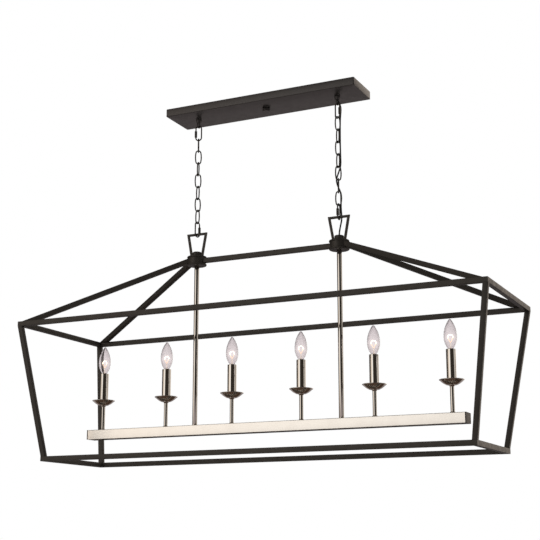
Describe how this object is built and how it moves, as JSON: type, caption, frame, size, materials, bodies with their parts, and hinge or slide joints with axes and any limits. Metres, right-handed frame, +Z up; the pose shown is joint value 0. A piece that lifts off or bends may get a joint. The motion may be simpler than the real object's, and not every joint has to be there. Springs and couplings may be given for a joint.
{
  "type": "linear island pendant",
  "caption": "Linear pendant light: a canopy and chains carry an open tapered cage of square tube round a bar of candle lights.",
  "frame": {"origin": "on the ceiling plane, at the middle of the mounting strap's two slots", "axes": "+X along the cage to the right, +Y to the rear, +Z up into the ceiling"},
  "size_m": [1.27, 0.388, 0.944],
  "materials": {
    "dark_bronze": "satin dark bronze",
    "polished_nickel": "polished nickel",
    "zinc_steel": "zinc plated",
    "green_screw": "green plated",
    "cord_black": "matt black",
    "socket_plastic": "matt black",
    "wire_white": "matt white",
    "bulb_glass": "clear",
    "bulb_shell": "plain"
  },
  "bodies": {
    "canopy": {"mounting_strap": "zinc_steel", "canopy_stud": "zinc_steel", "ground_screw": "green_screw", "canopy_pan": "dark_bronze", "canopy_lock_nuts": "zinc_steel", "chain_loop_left": "dark_bronze", "chain_loop_right": "dark_bronze", "supply_cord": "cord_black"},
    "knob": {"canopy_knob": "dark_bronze"},
    "top_link_right": {"top_link_right": "dark_bronze"},
    "top_nut_right": {"top_link_nut_right": "dark_bronze"},
    "chain_right": {"chain_right": "dark_bronze"},
    "bottom_link_right": {"bottom_link_right": "dark_bronze"},
    "bottom_nut_right": {"bottom_link_nut_right": "dark_bronze"},
    "top_link_left": {"top_link_left": "dark_bronze"},
    "top_nut_left": {"top_link_nut_left": "dark_bronze"},
    "chain_left": {"chain_left": "dark_bronze"},
    "bottom_link_left": {"bottom_link_left": "dark_bronze"},
    "bottom_nut_left": {"bottom_link_nut_left": "dark_bronze"},
    "cage": {"hanger_loop_left": "dark_bronze", "hanger_loop_right": "dark_bronze", "hub_left": "dark_bronze", "hub_right": "dark_bronze", "hub_collar_left": "dark_bronze", "hub_collar_right": "dark_bronze", "ridge_bar": "dark_bronze", "hip_bars": "dark_bronze", "upper_rail_front": "dark_bronze", "upper_rail_rear": "dark_bronze", "upper_rail_left": "dark_bronze", "upper_rail_right": "dark_bronze", "lower_rail_front": "dark_bronze", "lower_rail_rear": "dark_bronze", "lower_rail_left": "dark_bronze", "lower_rail_right": "dark_bronze", "corner_posts": "dark_bronze", "rod_left": "polished_nickel", "rod_right": "polished_nickel", "light_bar": "polished_nickel", "bar_end_caps": "dark_bronze", "bar_cover": "dark_bronze", "cover_screws": "zinc_steel", "bar_lock_nuts": "zinc_steel", "candle_stems": "polished_nickel", "bobeches": "polished_nickel", "candle_sockets": "socket_plastic", "candle_sleeves": "polished_nickel", "bar_wiring": "wire_white"},
    "bulb_1": {"bulb_glass_1": "bulb_glass", "bulb_base_1": "bulb_shell"},
    "bulb_2": {"bulb_glass_2": "bulb_glass", "bulb_base_2": "bulb_shell"},
    "bulb_3": {"bulb_glass_3": "bulb_glass", "bulb_base_3": "bulb_shell"},
    "bulb_4": {"bulb_glass_4": "bulb_glass", "bulb_base_4": "bulb_shell"},
    "bulb_5": {"bulb_glass_5": "bulb_glass", "bulb_base_5": "bulb_shell"},
    "bulb_6": {"bulb_glass_6": "bulb_glass", "bulb_base_6": "bulb_shell"}
  },
  "joints": [
    {"name": "knob_turn", "type": "hinge", "parent": "canopy", "child": "knob", "pos_m": [0, 0, -0.0255], "axis": [0, 0, 1], "continuous": true},
    {"name": "swing", "type": "hinge", "parent": "canopy", "child": "top_link_right", "pos_m": [0.2047, 0, -0.0399], "axis": [1, 0, 0], "range_deg": [-20, 20], "deforming": ["supply_cord"]},
    {"name": "sway", "type": "hinge", "parent": "top_link_right", "child": "chain_right", "pos_m": [0.2047, 0, -0.0769], "axis": [0, 1, 0], "range_deg": [-12, 12], "deforming": ["supply_cord"]},
    {"name": "level_right", "type": "hinge", "parent": "chain_right", "child": "bottom_link_right", "pos_m": [0.2047, 0, -0.3113], "axis": [0, 1, 0], "range_deg": [-12, 12], "deforming": ["supply_cord"]},
    {"name": "tilt", "type": "hinge", "parent": "bottom_link_right", "child": "cage", "pos_m": [0.2047, 0, -0.346], "axis": [1, 0, 0], "range_deg": [-15, 15], "deforming": ["supply_cord"]},
    {"name": "swing_left", "type": "hinge", "parent": "canopy", "child": "top_link_left", "pos_m": [-0.2047, 0, -0.0399], "axis": [1, 0, 0], "range_deg": [-20, 20]},
    {"name": "sway_left", "type": "hinge", "parent": "top_link_left", "child": "chain_left", "pos_m": [-0.2047, 0, -0.0769], "axis": [0, 1, 0], "range_deg": [-12, 12]},
    {"name": "level_left", "type": "hinge", "parent": "chain_left", "child": "bottom_link_left", "pos_m": [-0.2047, 0, -0.3113], "axis": [0, 1, 0], "range_deg": [-12, 12]},
    {"name": "top_nut_left_turn", "type": "hinge", "parent": "top_link_left", "child": "top_nut_left", "pos_m": [-0.21243, -0.00164, -0.0627], "axis": [0, 0, 1], "continuous": true},
    {"name": "bottom_nut_left_turn", "type": "hinge", "parent": "bottom_link_left", "child": "bottom_nut_left", "pos_m": [-0.2026, 0.00762, -0.3341], "axis": [0, 0, 1], "continuous": true},
    {"name": "top_nut_right_turn", "type": "hinge", "parent": "top_link_right", "child": "top_nut_right", "pos_m": [0.21192, -0.00321, -0.0627], "axis": [0, 0, 1], "continuous": true},
    {"name": "bottom_nut_right_turn", "type": "hinge", "parent": "bottom_link_right", "child": "bottom_nut_right", "pos_m": [0.20478, -0.0079, -0.3341], "axis": [0, 0, 1], "continuous": true},
    {"name": "bulb_1_out", "type": "slide", "parent": "cage", "child": "bulb_1", "axis": [0, 0, 1], "range_m": [0, 0.03]},
    {"name": "bulb_2_out", "type": "slide", "parent": "cage", "child": "bulb_2", "axis": [0, 0, 1], "range_m": [0, 0.03]},
    {"name": "bulb_3_out", "type": "slide", "parent": "cage", "child": "bulb_3", "axis": [0, 0, 1], "range_m": [0, 0.03]},
    {"name": "bulb_4_out", "type": "slide", "parent": "cage", "child": "bulb_4", "axis": [0, 0, 1], "range_m": [0, 0.03]},
    {"name": "bulb_5_out", "type": "slide", "parent": "cage", "child": "bulb_5", "axis": [0, 0, 1], "range_m": [0, 0.03]},
    {"name": "bulb_6_out", "type": "slide", "parent": "cage", "child": "bulb_6", "axis": [0, 0, 1], "range_m": [0, 0.03]}
  ],
  "couplings": [
    {"joint": "level_right", "follows": "sway", "ratio": -1},
    {"joint": "swing_left", "follows": "swing", "ratio": 1},
    {"joint": "sway_left", "follows": "sway", "ratio": 1},
    {"joint": "level_left", "follows": "sway", "ratio": -1}
  ]
}
